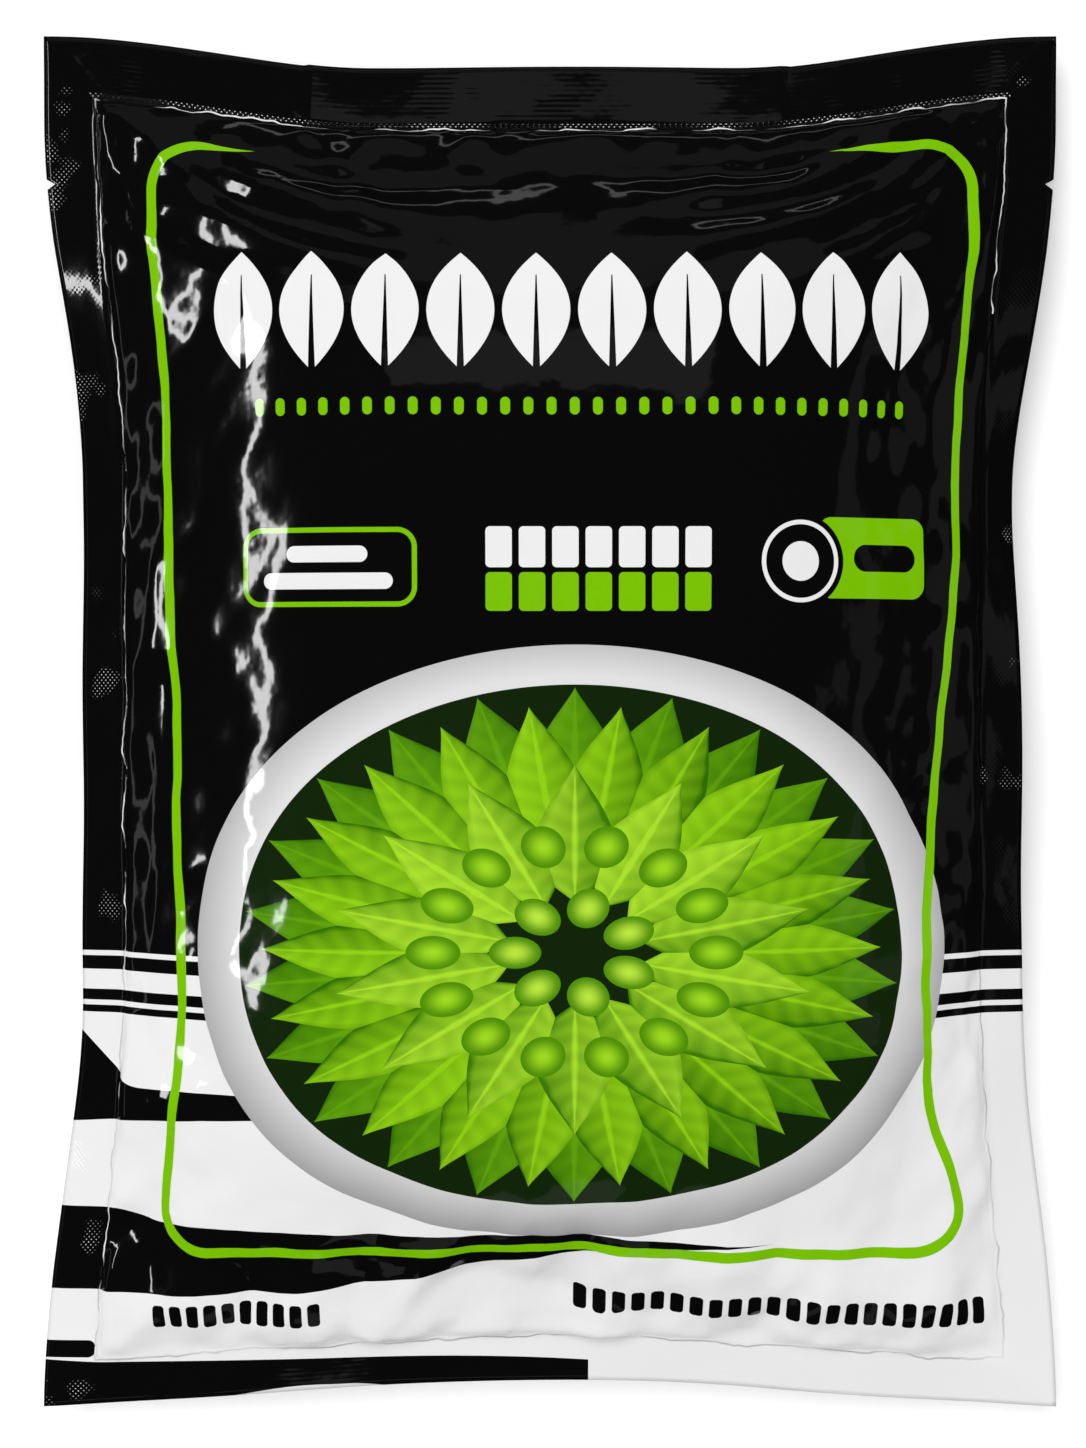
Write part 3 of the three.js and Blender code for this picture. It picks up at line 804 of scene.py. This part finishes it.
def sector_of(tree, angle, count, turn):
    """The angle within one of several equal sectors, from its middle, and that sector's number."""
    sector = 2 * math.pi / count
    angle = add(tree, MATH, {0: angle, 1: turn * sector}, operation="ADD")
    local = add(tree, MATH, {0: angle, 1: sector / 2, 2: -sector / 2}, operation="WRAP")
    number = add(tree, MATH, {0: angle, 1: sector}, operation="DIVIDE")
    return local, add(tree, MATH, {0: number}, operation="ROUND")


def leaf_ring(tree, polar, count, turn, inner, outer, half, inks):
    """A ring of pointed leaves round the middle: their mask and their shaded colour."""
    radius, angle = polar
    local, number = sector_of(tree, angle, count, turn)
    aside = add(tree, MATH, {0: radius, 1: local}, operation="MULTIPLY")
    along = add(tree, SPREAD, {0: radius, 1: inner, 2: outer, 3: 0.0, 4: 1.0})
    belly = add(tree, MATH, {0: along, 1: LEAF_SHAPE["belly"]}, operation="POWER")
    belly = add(tree, MATH, {0: belly, 1: math.pi}, operation="MULTIPLY")
    arch = add(tree, MATH, {0: belly}, operation="SINE")
    arch = add(tree, MATH, {0: arch, 1: LEAF_SHAPE["point"]}, operation="POWER")
    width = add(tree, MATH, {0: arch, 1: half}, operation="MULTIPLY")
    wide = add(tree, MATH, {0: width, 1: HAIR}, operation="MAXIMUM")
    share = add(tree, MATH, {0: aside, 1: wide}, operation="DIVIDE")
    size = add(tree, MATH, {0: share}, operation="ABSOLUTE")
    inside = add(tree, MATH, {0: size, 1: 1.0}, operation="LESS_THAN")
    middle, reach = (inner + outer) / 2, (outer - inner) / 2
    within = add(tree, MATH, {0: radius, 1: middle, 2: reach}, operation="COMPARE")
    mask = add(tree, MATH, {0: inside, 1: within}, operation="MULTIPLY")
    forward = add(tree, MATH, {0: radius, 1: LEAF_VEINS["along"]}, operation="MULTIPLY")
    outward = add(tree, MATH, {0: size, 1: LEAF_VEINS["aside"]}, operation="MULTIPLY")
    ripple = add(tree, MATH, {0: outward, 1: forward}, operation="SUBTRACT")
    veins = add(tree, MATH, {0: ripple}, operation="SINE")
    dark_side, lit_side = LEAF_TONES["dark_side"], LEAF_TONES["lit_side"]
    tone = add(tree, SPREAD, {0: share, 1: -1.0, 2: 1.0, 3: dark_side, 4: lit_side})
    tone = add(tree, MATH, {0: veins, 1: LEAF_VEINS["tone"], 2: tone}, operation="MULTIPLY_ADD")
    luck = add(tree, "ShaderNodeTexWhiteNoise", {"W": number}, output="Value", noise_dimensions="1D")
    tone = add(tree, MATH, {0: luck, 1: LEAF_TONES["spread"], 2: tone}, operation="MULTIPLY_ADD")
    rib = add(tree, SPREAD, {0: size, 1: 0.0, 2: LEAF_RIB["wide"], 3: LEAF_RIB["tone"], 4: 0.0})
    tone = add(tree, MATH, {0: tone, 1: rib}, operation="ADD")
    rim = add(tree, SPREAD, {0: size, 1: LEAF_RIM["from"], 2: 1.0, 3: 0.0, 4: LEAF_RIM["tone"]})
    tone = add(tree, MATH, {0: tone, 1: rim}, operation="ADD", use_clamp=True)
    dark, lit = (linear(ink) for ink in inks)
    return mask, add(tree, BLEND, {"Factor": tone, 6: dark, 7: lit}, output=2, data_type="RGBA")


def bean_ring(tree, polar, count, turn, ring, size, inks):
    """A ring of round beans, each bright in the middle."""
    radius, angle = polar
    local, _ = sector_of(tree, angle, count, turn)
    forward = add(tree, MATH, {0: local}, operation="COSINE")
    forward = add(tree, MATH, {0: radius, 1: forward}, operation="MULTIPLY")
    forward = add(tree, MATH, {0: forward, 1: ring}, operation="SUBTRACT")
    aside = add(tree, MATH, {0: local}, operation="SINE")
    aside = add(tree, MATH, {0: radius, 1: aside}, operation="MULTIPLY")
    aside = add(tree, MATH, {0: aside, 1: BEAN_SQUEEZE}, operation="MULTIPLY")
    offset = add(tree, "ShaderNodeCombineXYZ", {0: forward, 1: aside})
    away = add(tree, VECTOR, {0: offset}, output="Value", operation="LENGTH")
    mask = add(tree, MATH, {0: away, 1: size}, operation="LESS_THAN")
    tone = add(tree, SPREAD, {0: away, 1: 0.0, 2: size, 3: 1.0, 4: 0.0},
               interpolation_type="SMOOTHSTEP")
    dark, lit = (linear(ink) for ink in inks)
    return mask, add(tree, BLEND, {"Factor": tone, 6: dark, 7: lit}, output=2, data_type="RGBA")


def medal_layers(tree, place):
    """An oval medal of leaves and beans inside a pale rim, from the ground up."""
    offset = add(tree, VECTOR, {0: place, 1: (*MEDAL["centre"], 0)}, operation="SUBTRACT")
    squeezed = add(tree, VECTOR, {0: offset, 1: (MEDAL["squeeze"], 1, 0)}, operation="MULTIPLY")
    radius = add(tree, VECTOR, {0: squeezed}, output="Value", operation="LENGTH")
    x, y = across_and_up(tree, squeezed)
    polar = (radius, add(tree, MATH, {0: y, 1: x}, operation="ARCTAN2"))
    full = MEDAL["radius"]
    inside, edge = MEDAL_RIM["inside"], MEDAL_RIM["edge"]
    rim_tone = add(tree, SPREAD, {0: radius, 1: full - MEDAL["fade"], 2: full, 3: inside, 4: edge})
    lower = add(tree, SPREAD, {0: y, 1: -full, 2: full, 3: MEDAL_RIM["foot"], 4: MEDAL_RIM["head"]})
    rim_tone = add(tree, MATH, {0: rim_tone, 1: lower}, operation="ADD", use_clamp=True)
    shade, lit = (linear(ink) for ink in RIM_INKS)
    rim = add(tree, BLEND, {"Factor": rim_tone, 6: shade, 7: lit}, output=2, data_type="RGBA")
    return [
        (add(tree, MATH, {0: radius, 1: full}, operation="LESS_THAN"), rim),
        (add(tree, MATH, {0: radius, 1: MEDAL["ground"]}, operation="LESS_THAN"), linear(GROUND_INK)),
        *[leaf_ring(tree, polar, **ring) for ring in MEDAL_LEAVES],
        *[bean_ring(tree, polar, **ring) for ring in MEDAL_BEANS],
    ]


# The row of leaves at the head of the print, and the rib that each has from its foot upwards
LEAF_ROW = {
    "from": -123.5, "pitch": 26.3, "count": 10, "middle": 148.5, "half_height": 23.0, "half_width": 11.8,
}
ROW_RIB = {"width": {1: -1.0, 2: 0.75, 3: 1.3, 4: 0.1}, "end": 0.6}


def leaf_row(tree, u, v):
    """A row of upright pointed leaves for the head of the print, and their ribs."""
    pitch = LEAF_ROW["pitch"]
    local = add(tree, MATH, {0: u, 1: LEAF_ROW["from"]}, operation="SUBTRACT")
    local = add(tree, MATH, {0: local, 1: pitch, 2: 0.0}, operation="WRAP")
    aside = add(tree, MATH, {0: local, 1: pitch / 2}, operation="SUBTRACT")
    aside = add(tree, MATH, {0: aside}, operation="ABSOLUTE")
    up = add(tree, MATH, {0: v, 1: LEAF_ROW["middle"]}, operation="SUBTRACT")
    share = add(tree, MATH, {0: up, 1: LEAF_ROW["half_height"]}, operation="DIVIDE")
    squared = add(tree, MATH, {0: share, 1: share}, operation="MULTIPLY")
    width = add(tree, MATH, {0: 1.0, 1: squared}, operation="SUBTRACT")
    width = add(tree, MATH, {0: width, 1: LEAF_ROW["half_width"]}, operation="MULTIPLY")
    inside = add(tree, MATH, {0: aside, 1: width}, operation="LESS_THAN")
    reach = LEAF_ROW["count"] * pitch / 2
    row = add(tree, MATH, {0: u, 1: LEAF_ROW["from"] + reach, 2: reach}, operation="COMPARE")
    leaf = add(tree, MATH, {0: inside, 1: row}, operation="MULTIPLY")
    thin = add(tree, SPREAD, {0: share, **ROW_RIB["width"]})
    rib = add(tree, MATH, {0: aside, 1: thin}, operation="LESS_THAN")
    low = add(tree, MATH, {0: share, 1: ROW_RIB["end"]}, operation="LESS_THAN")
    rib = add(tree, MATH, {0: rib, 1: low}, operation="MULTIPLY")
    return leaf, add(tree, MATH, {0: rib, 1: leaf}, operation="MULTIPLY")


def front_layers(tree, place):
    """The front print as masks and colours, each over the ones before it.

    Each patch has its middle, half size and corner, a row of blocks also their number and pitch, and
    an outline the width of its line.
    """
    u, v = across_and_up(tree, place)
    white = linear(WHITE_INK)
    green = linear(GREEN_INK)
    black = linear(BLACK_INK)
    leaf, rib = leaf_row(tree, u, v)
    return [
        (add(tree, MATH, {0: v, 1: BLACK_END}, operation="LESS_THAN"), white),
        *[(mask, black) for mask in stripe_masks(tree, v) + lower_bands(tree, place, u, v)],
        *medal_layers(tree, place),
        (frame_line(tree, place, u, v), green),
        (leaf, white),
        (rib, black),
        (blocks(tree, place, (12.0, 112.3), 30, 8.0, (1.7, 3.2), 1.7), green),
        (outline(tree, place, (-79.5, 55.3), (32.5, 14.0), 7.0, 1.8), green),
        (patch(tree, place, (-79.5, 59.9), (15.0, 2.9), 2.9), white),
        (patch(tree, place, (-79.5, 50.4), (24.0, 2.9), 2.9), white),
        (blocks(tree, place, (16.3, 62.3), 7, 11.6, (4.6, 7.2), 1.6), white),
        (blocks(tree, place, (16.3, 46.6), 7, 11.6, (4.6, 6.8), 1.6), green),
        (patch(tree, place, (117.0, 58.8), (22.0, 14.4), 5.0), green),
        (patch(tree, place, (122.0, 58.8), (13.0, 4.8), 4.8), black),
        (patch(tree, place, (88.2, 57.5), (16.6, 16.6), 16.6), black),
        (outline(tree, place, (88.2, 57.5), (14.6, 14.6), 14.59, 1.6), white),
        (patch(tree, place, (88.2, 57.5), (7.0, 7.0), 7.0), white),
        (blocks(tree, place, (-114.0, -218.5), 10, 6.4, (2.2, 4.6), 1.4), black),
        (blocks(tree, place, (84.0, -217.0), 22, 7.0, (2.4, 5.0), 1.5), black),
    ]


def back_layers(tree, place):
    """The back print: the same ground and stripes, and an empty white panel in a green line."""
    _, v = across_and_up(tree, place)
    white = linear(WHITE_INK)
    green = linear(GREEN_INK)
    return [
        (add(tree, MATH, {0: v, 1: BLACK_END}, operation="LESS_THAN"), white),
        *[(mask, linear(BLACK_INK)) for mask in stripe_masks(tree, v)],
        (outline(tree, place, (0.0, 50.0), (110.0, 95.0), 12.0, 2.0), green),
        (patch(tree, place, (0.0, 50.0), (104.0, 89.0), 9.0), white),
    ]


# The surface of the film, in millimetres: knurled side welds and ribbed end welds, a little inside the
# welds' own edges and pressed deeper in patches. Real sealing jaws have a pitch of about 1 mm, drawn
# here twice as coarse so that it shows
WELD_MARGIN = 1.0
KNURL_PITCH = 2.0
KNURL_HEIGHT = 0.03
RIB_PITCH = 1.9
RIB_HEIGHT = 0.03
PRESSED = {"scale": 0.04, "depth": {1: 0.56, 2: 0.70, 3: 0.06, 4: 1.0}}

# The bead along the welds' inner edge, a dotted row on the top weld, soft crinkles as size and
# height, and painted highlights: near-white marks on the bead and the knurl tips that stand in for glints
BEAD = {
    "half": 1.0, "height": 0.62, "least": 0.35, "swell": {1: 0.35, 2: 0.6}, "wander": 6.0, "scale": 0.07,
}
DOTS = {"width": 2.6, "height": 0.2}
CRINKLES = ((14.0, 0.2), (5.0, 0.05))
# Painted highlights: where and how the near-white glint marks on the bead and knurl tips are drawn
PAINTED_GLINTS = {
    "scale": 0.035, "on_line": {1: 0.42, 2: 0.52, 3: 0.0, 4: 1.0},
    "on_dots": {1: 0.61, 2: 0.69, 3: 0.0, 4: 1.0}, "line": 0.5, "tip": 0.78, "above": 150.0,
    "tone": "E4E4E4",
}


def weld_zones(tree, u, v):
    """Where the side welds lie, the top weld, and both end welds between the side ones."""
    across = add(tree, MATH, {0: u}, operation="ABSOLUTE")
    beside = add(tree, MATH, {0: across, 1: CHAMBER_X + WELD_MARGIN}, operation="GREATER_THAN")
    high, low = WEB_LENGTH / 2 - TOP_SEAL + WELD_MARGIN, -WEB_LENGTH / 2 + BOTTOM_SEAL - WELD_MARGIN
    top = add(tree, MATH, {0: v, 1: high}, operation="GREATER_THAN")
    bottom = add(tree, MATH, {0: v, 1: low}, operation="LESS_THAN")
    ends = add(tree, MATH, {0: top, 1: bottom}, operation="MAXIMUM")
    return beside, top, add(tree, MATH, {0: ends, 1: beside}, operation="SUBTRACT", use_clamp=True)


def from_welds(tree, u, v):
    """How far in from the nearest weld a place lies, below zero on the weld itself."""
    across = add(tree, MATH, {0: u}, operation="ABSOLUTE")
    aside = add(tree, MATH, {0: CHAMBER_X, 1: across}, operation="SUBTRACT")
    along = add(tree, MATH, {0: v, 1: CHAMBER_MIDDLE}, operation="SUBTRACT")
    along = add(tree, MATH, {0: along}, operation="ABSOLUTE")
    along = add(tree, MATH, {0: CHAMBER_Y, 1: along}, operation="SUBTRACT")
    return add(tree, MATH, {0: aside, 1: along}, operation="MINIMUM")


def knurl_tips(tree, u, v):
    """The pyramids of a knurl, from -1 in the pits to 1 on the tips."""
    waves = []
    for place in (u, v):
        turns = add(tree, MATH, {0: place, 1: 2 * math.pi / KNURL_PITCH}, operation="MULTIPLY")
        waves.append(add(tree, MATH, {0: turns}, operation="SINE"))
    return add(tree, MATH, {0: waves[0], 1: waves[1]}, operation="MULTIPLY")


def pressed_welds(tree, place, v, knurl, beside, ends):
    """The relief of the knurled side welds and ribbed end welds, deeper in patches."""
    ribs = add(tree, MATH, {0: v, 1: 2 * math.pi / RIB_PITCH}, operation="MULTIPLY")
    ribs = add(tree, MATH, {0: ribs}, operation="SINE")
    ribs = add(tree, MATH, {0: ribs, 1: ends}, operation="MULTIPLY")
    relief = add(tree, MATH, {0: knurl, 1: beside}, operation="MULTIPLY")
    relief = add(tree, MATH, {0: relief, 1: KNURL_HEIGHT}, operation="MULTIPLY")
    relief = add(tree, MATH, {0: ribs, 1: RIB_HEIGHT, 2: relief}, operation="MULTIPLY_ADD")
    patches = {"Vector": place, "Scale": PRESSED["scale"], "Detail": 2.0}
    pressed = add(tree, "ShaderNodeTexNoise", patches)
    pressed = add(tree, SPREAD, {0: pressed, **PRESSED["depth"]})
    return add(tree, MATH, {0: relief, 1: pressed}, operation="MULTIPLY")


def weld_bead(tree, place, inward):
    """The bead that wanders along the welds' edge: the distance from its crown and the crown's height."""
    wander = {"Vector": place, "Scale": BEAD["scale"], "Detail": 2.0}
    wander = add(tree, "ShaderNodeTexNoise", wander)
    low, high = BEAD["least"] * BEAD["height"], BEAD["height"]
    crown = add(tree, SPREAD, {0: wander, **BEAD["swell"], 3: low, 4: high})
    wander = add(tree, MATH, {0: wander, 1: 0.5}, operation="SUBTRACT")
    away = add(tree, MATH, {0: wander, 1: BEAD["wander"], 2: inward}, operation="MULTIPLY_ADD")
    return add(tree, MATH, {0: away}, operation="ABSOLUTE"), crown


def painted_glint_line(tree, u, v, glint_spots, away, crown):
    """Painted highlight: a near-white line along the bead, on the left and high up."""
    left = add(tree, MATH, {0: u, 1: 0.0}, operation="LESS_THAN")
    above = add(tree, MATH, {0: v, 1: PAINTED_GLINTS["above"]}, operation="GREATER_THAN")
    glint_side = add(tree, MATH, {0: left, 1: above}, operation="MAXIMUM")
    thin = add(tree, MATH, {0: crown, 1: PAINTED_GLINTS["line"]}, operation="MULTIPLY")
    line = add(tree, MATH, {0: away, 1: thin}, operation="LESS_THAN")
    line = add(tree, MATH, {0: line, 1: glint_side}, operation="MULTIPLY")
    return add(tree, MATH, {0: line, 1: glint_spots}, operation="MULTIPLY")


def painted_glint_tips(tree, knurl, beside, glint_spots, row, glint_row_spots):
    """Painted glints on the tips of the knurl, on the side welds and on the dotted row."""
    tips = add(tree, MATH, {0: knurl, 1: PAINTED_GLINTS["tip"]}, operation="GREATER_THAN")
    on_band = add(tree, MATH, {0: beside, 1: glint_spots}, operation="MULTIPLY")
    on_row = add(tree, MATH, {0: row, 1: glint_row_spots}, operation="MULTIPLY")
    shown = add(tree, MATH, {0: on_band, 1: on_row}, operation="MAXIMUM")
    return add(tree, MATH, {0: tips, 1: shown}, operation="MULTIPLY")


def film_relief(tree, place):
    """The bump height of the welds and the crinkled film, and a mask of painted highlights."""
    u, v = across_and_up(tree, place)
    beside, top, ends = weld_zones(tree, u, v)
    inward = from_welds(tree, u, v)
    knurl = knurl_tips(tree, u, v)
    relief = pressed_welds(tree, place, v, knurl, beside, ends)
    half = DOTS["width"] / 2
    row = add(tree, MATH, {0: inward, 1: -half, 2: half}, operation="COMPARE")
    row = add(tree, MATH, {0: row, 1: top}, operation="MULTIPLY")
    dots = add(tree, MATH, {0: knurl, 1: row}, operation="MULTIPLY")
    relief = add(tree, MATH, {0: dots, 1: DOTS["height"], 2: relief}, operation="MULTIPLY_ADD")
    away, crown = weld_bead(tree, place, inward)
    bead = add(tree, SPREAD, {0: away, 1: 0.0, 2: BEAD["half"], 3: crown, 4: 0.0},
               interpolation_type="SMOOTHSTEP")
    relief = add(tree, MATH, {0: relief, 1: bead}, operation="ADD")
    for size, height in CRINKLES:
        noise = add(tree, "ShaderNodeTexNoise", {"Vector": place, "Scale": 1 / size, "Detail": 1.0})
        relief = add(tree, MATH, {0: noise, 1: height, 2: relief}, operation="MULTIPLY_ADD")
    # Noise that places the painted highlights on the bead and the knurl tips
    glint_spots = add(tree, "ShaderNodeTexNoise", {"Vector": place, "Scale": PAINTED_GLINTS["scale"], "Detail": 3.0})
    glint_line_spots = add(tree, SPREAD, {0: glint_spots, **PAINTED_GLINTS["on_line"]})
    glint_dot_spots = add(tree, SPREAD, {0: glint_spots, **PAINTED_GLINTS["on_dots"]})
    line = painted_glint_line(tree, u, v, glint_line_spots, away, crown)
    tips = painted_glint_tips(tree, knurl, beside, glint_dot_spots, row, glint_line_spots)
    return relief, add(tree, MATH, {0: line, 1: tips}, operation="MAXIMUM")


# Finish of the film, and of the pods' skin with its blotches in millimetres
FILM_GLOSS = {"Roughness": 0.07, "IOR": 1.5}
POD_GLOSS = {"Roughness": 0.55, "IOR": 1.45}
POD_TONES = ("4F8A1E", "9CC653")
POD_BLOTCH = 11.1
POD_FUZZ = {"Strength": 0.4, "Distance": 0.4 * MM}


def printed_film(name, layers_of):
    """Blown polyethylene laminate, printed behind its clear outer ply.

    The inks look flat and deep under a hard, wet gloss; folds and welds draw bright reflected lines, and
    on the welds near-white highlights are also painted.
    """
    material, tree = new_material(name)
    place = flat_place(tree)
    colour = linear(BLACK_INK)
    for mask, ink in layers_of(tree, place):
        colour = add(tree, BLEND, {"Factor": mask, 6: colour, 7: ink}, output=2, data_type="RGBA")
    relief, painted_glints = film_relief(tree, place)
    # Near-white painted highlights mixed into the print, standing in for glints of light
    glint_ink = linear(PAINTED_GLINTS["tone"])
    colour = add(tree, BLEND, {"Factor": painted_glints, 6: colour, 7: glint_ink}, output=2, data_type="RGBA")
    bump = add(tree, "ShaderNodeBump", {"Strength": 1.0, "Distance": MM, "Height": relief})
    film = add(tree, "ShaderNodeBsdfPrincipled", {"Base Color": colour, "Normal": bump, **FILM_GLOSS})
    add(tree, "ShaderNodeOutputMaterial", {"Surface": film})
    return material


def pod_skin():
    """Frozen soybean pod: dull, faintly hairy skin in blotches of green, paler where frost lies."""
    material, tree = new_material("frosted_pod_skin")
    place = add(tree, "ShaderNodeNewGeometry")
    blotches = {"Vector": place, "Scale": 1 / (POD_BLOTCH * MM), "Detail": 3.0}
    tone = add(tree, "ShaderNodeTexNoise", blotches)
    dark, pale = (linear(ink) for ink in POD_TONES)
    colour = add(tree, BLEND, {"Factor": tone, 6: dark, 7: pale}, output=2, data_type="RGBA")
    bump = add(tree, "ShaderNodeBump", {**POD_FUZZ, "Height": tone})
    skin = add(tree, "ShaderNodeBsdfPrincipled", {"Base Color": colour, "Normal": bump, **POD_GLOSS})
    add(tree, "ShaderNodeOutputMaterial", {"Surface": skin})
    return material


# Lamps that only the gloss shows: name, place, level and rising size in metres, power in watts
STRIPS = (
    ("left_strip", (-1.27, 0.28, 0.84), (1.05, 0.08), 4.2),
    ("left_low_strip", (-1.70, 0.05, 0.16), (1.2, 0.10), 0.28),
    ("right_strip", (1.30, 0.15, 0.75), (0.9, 0.25), 0.08),
    ("right_low_strip", (1.70, 0.20, 0.30), (0.9, 0.30), 0.10),
    ("corner_strip", (1.20, 1.20, 0.36), (0.5, 0.06), 0.9),
    ("top_softbox", (0.0, 1.40, 0.82), (1.8, 0.6), 0.4),
    ("seal_softbox", (0.0, 1.02, 1.45), (0.8, 0.36), 0.2),
    ("top_strip", (0.0, 1.70, 0.07), (1.6, 0.08), 0.45),
    ("foot_softbox", (0.1, -1.50, 0.70), (1.2, 0.4), 0.35),
)
LAMP_AIM = (0.0, 0.0, 0.05)
KEY = {"towards": (-0.20, 0.25, 0.95), "strength": 1.83, "spread": 40.0}
FILL = 0.58
FLOOR_HALF = 6.0
BACKLIGHT = 0.14


def backlit_acrylic():
    """Cast opal acrylic sheet with light behind it: an even white that takes hardly any shadow."""
    material, tree = new_material("backlit_opal_acrylic")
    sheet = add(tree, "ShaderNodeBsdfPrincipled", {
        "Base Color": linear("FAFAFA"), "Roughness": 0.9, "Specular IOR Level": 0.1,
        "Emission Color": linear("FFFFFF"), "Emission Strength": BACKLIGHT,
    })
    add(tree, "ShaderNodeOutputMaterial", {"Surface": sheet})
    return material


def stage_and_light():
    """A backlit floor, an even fill that no gloss shows, and soft boxes that the film mirrors."""
    corners = [(-1, -1, 0), (1, -1, 0), (1, 1, 0), (-1, 1, 0)]
    floor = make_object("floor", np.array(corners) * FLOOR_HALF, [(0, 1, 2, 3)], smooth=False)
    floor.data.materials.append(backlit_acrylic())
    floor.visible_glossy = False
    world = bpy.data.worlds.new("studio")
    bpy.context.scene.world = world
    world.use_nodes = True
    background = world.node_tree.nodes["Background"]
    background.inputs["Color"].default_value = linear("FFFFFF")
    background.inputs["Strength"].default_value = FILL
    world.cycles_visibility.glossy = False
    key = bpy.data.lights.new("key", "SUN")
    key.energy = KEY["strength"]
    key.angle = math.radians(KEY["spread"])
    sun = bpy.data.objects.new("key", key)
    bpy.context.scene.collection.objects.link(sun)
    sun.rotation_mode = "QUATERNION"
    sun.rotation_quaternion = Vector(KEY["towards"]).to_track_quat("Z", "Y")
    sun.visible_glossy = False
    for name, place, size, power in STRIPS:
        data = bpy.data.lights.new(name, "AREA")
        data.shape = "RECTANGLE"
        data.size, data.size_y = size
        data.energy = power
        lamp = bpy.data.objects.new(name, data)
        bpy.context.scene.collection.objects.link(lamp)
        lamp.location = place
        aim = Vector(LAMP_AIM) - lamp.location
        lamp.rotation_mode = "QUATERNION"
        lamp.rotation_quaternion = aim.to_track_quat("-Z", "Y")
        lamp.visible_diffuse = False


CAMERA_LENS = 100.0
CAMERA_AIM = (-2.6, -0.6)
CAMERA_OVER_SEAM = 1472.0


def make_camera():
    data = bpy.data.cameras.new("camera")
    data.lens = CAMERA_LENS
    data.sensor_width = 36.0
    camera = bpy.data.objects.new("camera", data)
    bpy.context.scene.collection.objects.link(camera)
    camera.location = (CAMERA_AIM[0] * MM, CAMERA_AIM[1] * MM, (SEAM_HEIGHT + CAMERA_OVER_SEAM) * MM)
    bpy.context.scene.camera = camera


make_camera()
stage_and_light()
bpy.context.scene.view_settings.view_transform = "Standard"

webs = film_shape()
front = web_object("front_web", webs[0], 1, SEED + 2)
back = web_object("back_web", webs[1], -1, SEED + 3)
pods = pods_object()
front.data.materials.append(printed_film("printed_polyethylene_front", front_layers))
back.data.materials.append(printed_film("printed_polyethylene_back", back_layers))
pods.data.materials.append(pod_skin())
for piece, node in ((front, "front_film"), (back, "back_film"), (pods, "edamame_pods")):
    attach(piece, "root")
    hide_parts(node)
